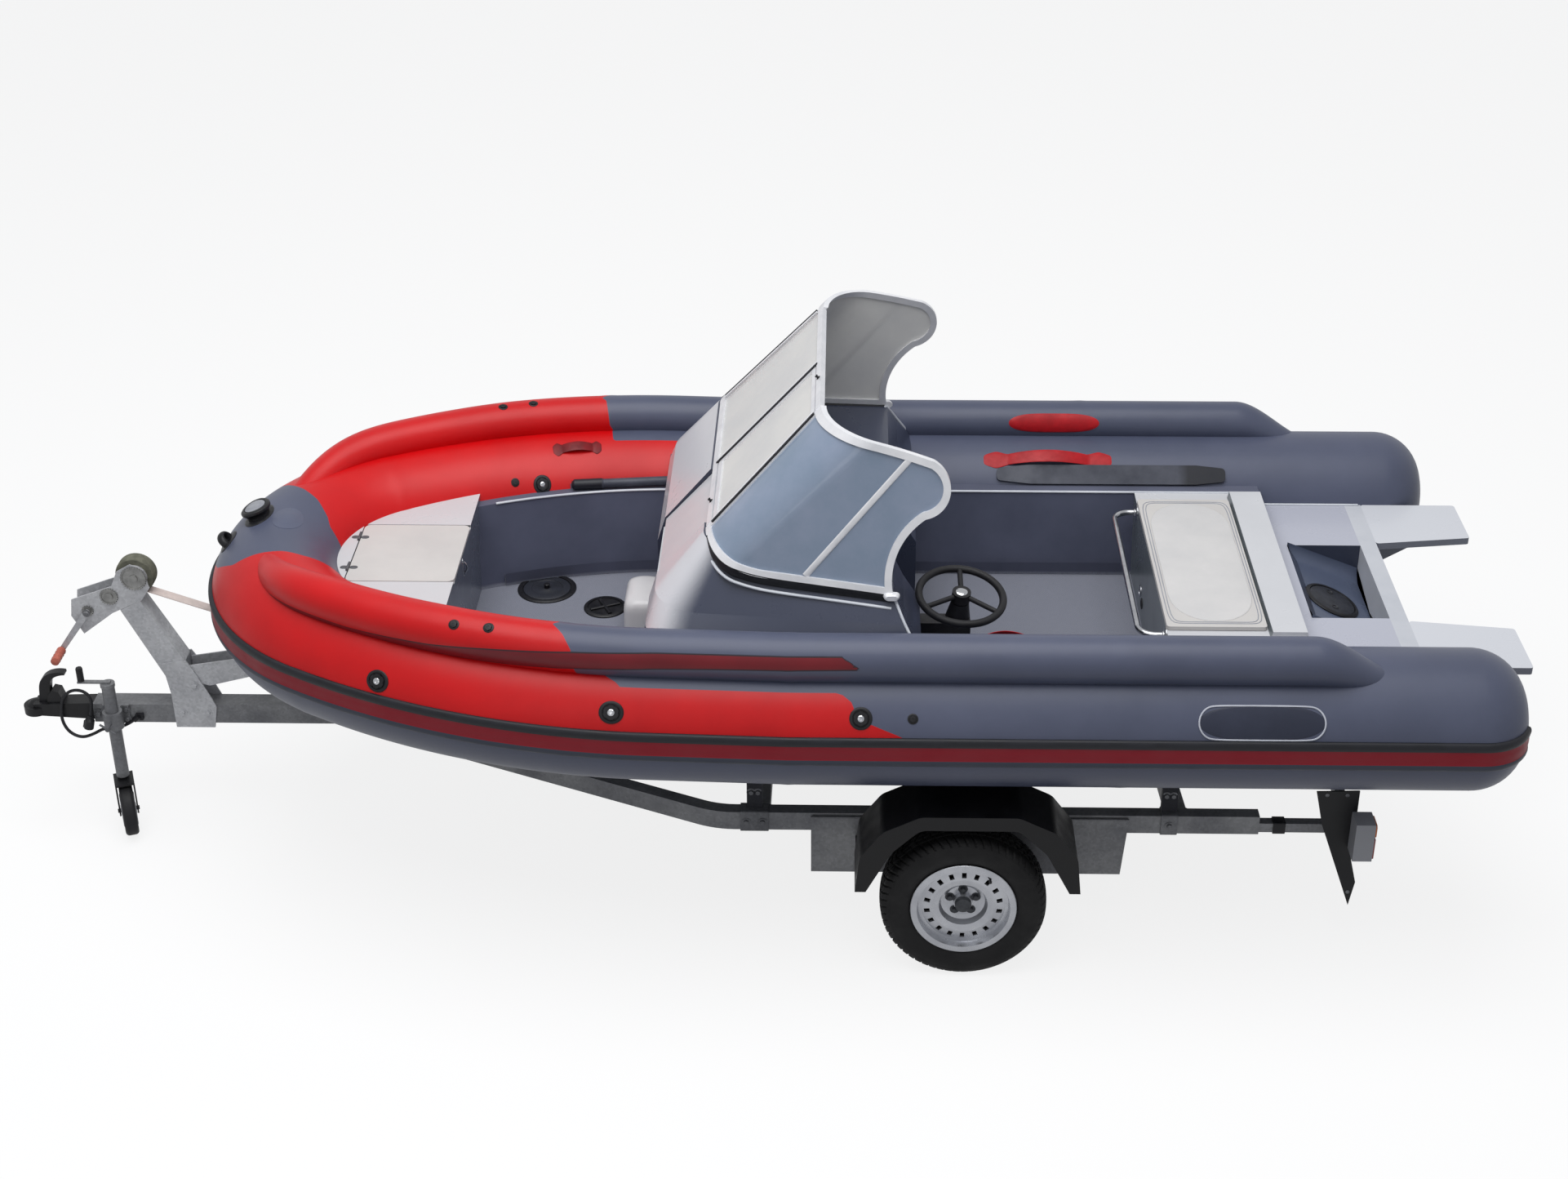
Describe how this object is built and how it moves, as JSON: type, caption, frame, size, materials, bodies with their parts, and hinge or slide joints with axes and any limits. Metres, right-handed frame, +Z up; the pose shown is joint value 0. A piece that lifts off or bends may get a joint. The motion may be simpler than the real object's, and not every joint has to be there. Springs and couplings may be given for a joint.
{
  "type": "inflatable boat on trailer",
  "caption": "Rigid inflatable boat with side console, wrap-round windshield and bow locker, held on its road trailer with winch post and jockey wheel.",
  "frame": {"origin": "on the ground under the middle of the overall length and width", "axes": "+X to the bow and tow coupling, +Y to port, +Z up"},
  "size_m": [5.425, 2.156, 1.9343],
  "materials": {
    "red_tube": "coated fabric, satin",
    "grey_tube": "coated fabric, satin",
    "strake": "matt",
    "hull_shell": "glass-fibre moulding",
    "liner": "coated fabric over moulding",
    "moulding": "glass-fibre moulding",
    "console": "glass-fibre moulding",
    "frame_metal": "satin anodised",
    "screen_glass": "clear acrylic",
    "bright_steel": "polished stainless steel",
    "black_plastic": "moulded plastic",
    "tyre": "matt",
    "rim": "silver paint",
    "galvanised": "hot-dip galvanised",
    "bunk": "carpeted board on posts",
    "roller": "matt",
    "webbing": "woven webbing",
    "coupling": "black paint",
    "cable": "black cable sheath"
  },
  "bodies": {
    "boat_and_trailer": {"tube_bow": "red_tube", "tube_port": "grey_tube", "tube_starboard": "grey_tube", "bulwark_tube_port": "grey_tube", "bulwark_tube_starboard": "grey_tube", "rub_strake": "strake", "hull": "hull_shell", "deck_liner": "liner", "bow_locker": "moulding", "seat_box": "moulding", "grab_rail": "bright_steel", "stern_deck": "moulding", "transom": "hull_shell", "swim_platforms": "moulding", "tow_eye": "bright_steel", "oars": "black_plastic", "console_starboard": "console", "console_port": "console", "console_seat": "moulding", "screen_frame_port": "frame_metal", "screen_frame_starboard": "frame_metal", "screen_frame_front": "frame_metal", "screen_glass_port": "screen_glass", "screen_glass_starboard": "screen_glass", "screen_glass_front": "screen_glass", "steering_column": "black_plastic", "axle": "galvanised", "fender_port": "black_plastic", "fender_starboard": "black_plastic", "drawbar": "galvanised", "side_rail_port": "galvanised", "side_rail_starboard": "galvanised", "cross_members": "galvanised", "bunks": "bunk", "keel_roller": "roller", "light_beam": "galvanised", "winch_post": "galvanised", "winch": "galvanised", "winch_crank": "galvanised", "winch_strap": "webbing", "bow_roller": "galvanised", "coupling": "coupling", "lead": "cable", "lead_clip": "black_plastic", "lead_plug": "black_plastic", "jockey_clamp": "galvanised"},
    "wheel_port": {"tyre_port": "tyre", "rim_port": "rim"},
    "wheel_starboard": {"tyre_starboard": "tyre", "rim_starboard": "rim"},
    "steering_wheel": {"steering_wheel": "black_plastic"},
    "bow_hatch_lid": {"bow_hatch_lid": "moulding"},
    "seat_lid": {"seat_lid": "moulding"},
    "screen_gate": {"screen_gate_frame": "frame_metal", "screen_gate_glass": "screen_glass"},
    "walkthrough_lid": {"walkthrough_lid": "moulding"},
    "walkthrough_door": {"walkthrough_door": "moulding"},
    "jockey_leg": {"jockey_leg": "galvanised"},
    "jockey_fork": {"jockey_fork": "galvanised"},
    "jockey_wheel": {"jockey_wheel": "roller"}
  },
  "joints": [
    {"name": "wheel_port_spin", "type": "hinge", "parent": "boat_and_trailer", "child": "wheel_port", "pos_m": [-0.7965, 0.886, 0.2875], "axis": [0, 1, 0], "continuous": true},
    {"name": "wheel_starboard_spin", "type": "hinge", "parent": "boat_and_trailer", "child": "wheel_starboard", "pos_m": [-0.7965, -0.886, 0.2875], "axis": [0, 1, 0], "continuous": true},
    {"name": "steering", "type": "hinge", "parent": "boat_and_trailer", "child": "steering_wheel", "pos_m": [-0.7765, 0.5, 1.262], "axis": [-0.0872, 0.1901, 0.9779], "range_deg": [-540, 540]},
    {"name": "bow_hatch_hinge", "type": "hinge", "parent": "boat_and_trailer", "child": "bow_hatch_lid", "pos_m": [1.3965, 0, 1.148], "axis": [0, 1, 0], "range_deg": [0, 95]},
    {"name": "seat_lid_hinge", "type": "hinge", "parent": "boat_and_trailer", "child": "seat_lid", "pos_m": [-1.8325, 0, 1.143], "axis": [0, -1, 0], "range_deg": [0, 90]},
    {"name": "screen_gate_hinge", "type": "hinge", "parent": "boat_and_trailer", "child": "screen_gate", "pos_m": [-0.1031, 0.048, 1.73127], "axis": [0.6782, 0, -0.7349], "range_deg": [0, 165]},
    {"name": "walkthrough_lid_hinge", "type": "hinge", "parent": "boat_and_trailer", "child": "walkthrough_lid", "pos_m": [0.17732, 0.045, 1.41854], "axis": [0.6782, 0, -0.7349], "range_deg": [0, 165]},
    {"name": "walkthrough_door_hinge", "type": "hinge", "parent": "boat_and_trailer", "child": "walkthrough_door", "pos_m": [0.2415, 0.049, 1.05], "axis": [0, 0, 1], "range_deg": [0, 88]},
    {"name": "jockey_slide", "type": "slide", "parent": "boat_and_trailer", "child": "jockey_leg", "axis": [0, 0, 1], "range_m": [0, 0.15]},
    {"name": "jockey_swivel", "type": "hinge", "parent": "jockey_leg", "child": "jockey_fork", "pos_m": [2.3505, 0.088, 0.4], "axis": [0, 0, 1], "continuous": true},
    {"name": "jockey_wheel_spin", "type": "hinge", "parent": "jockey_fork", "child": "jockey_wheel", "pos_m": [2.3334, 0.13498, 0.1], "axis": [0.9397, 0.342, 0], "continuous": true}
  ]
}
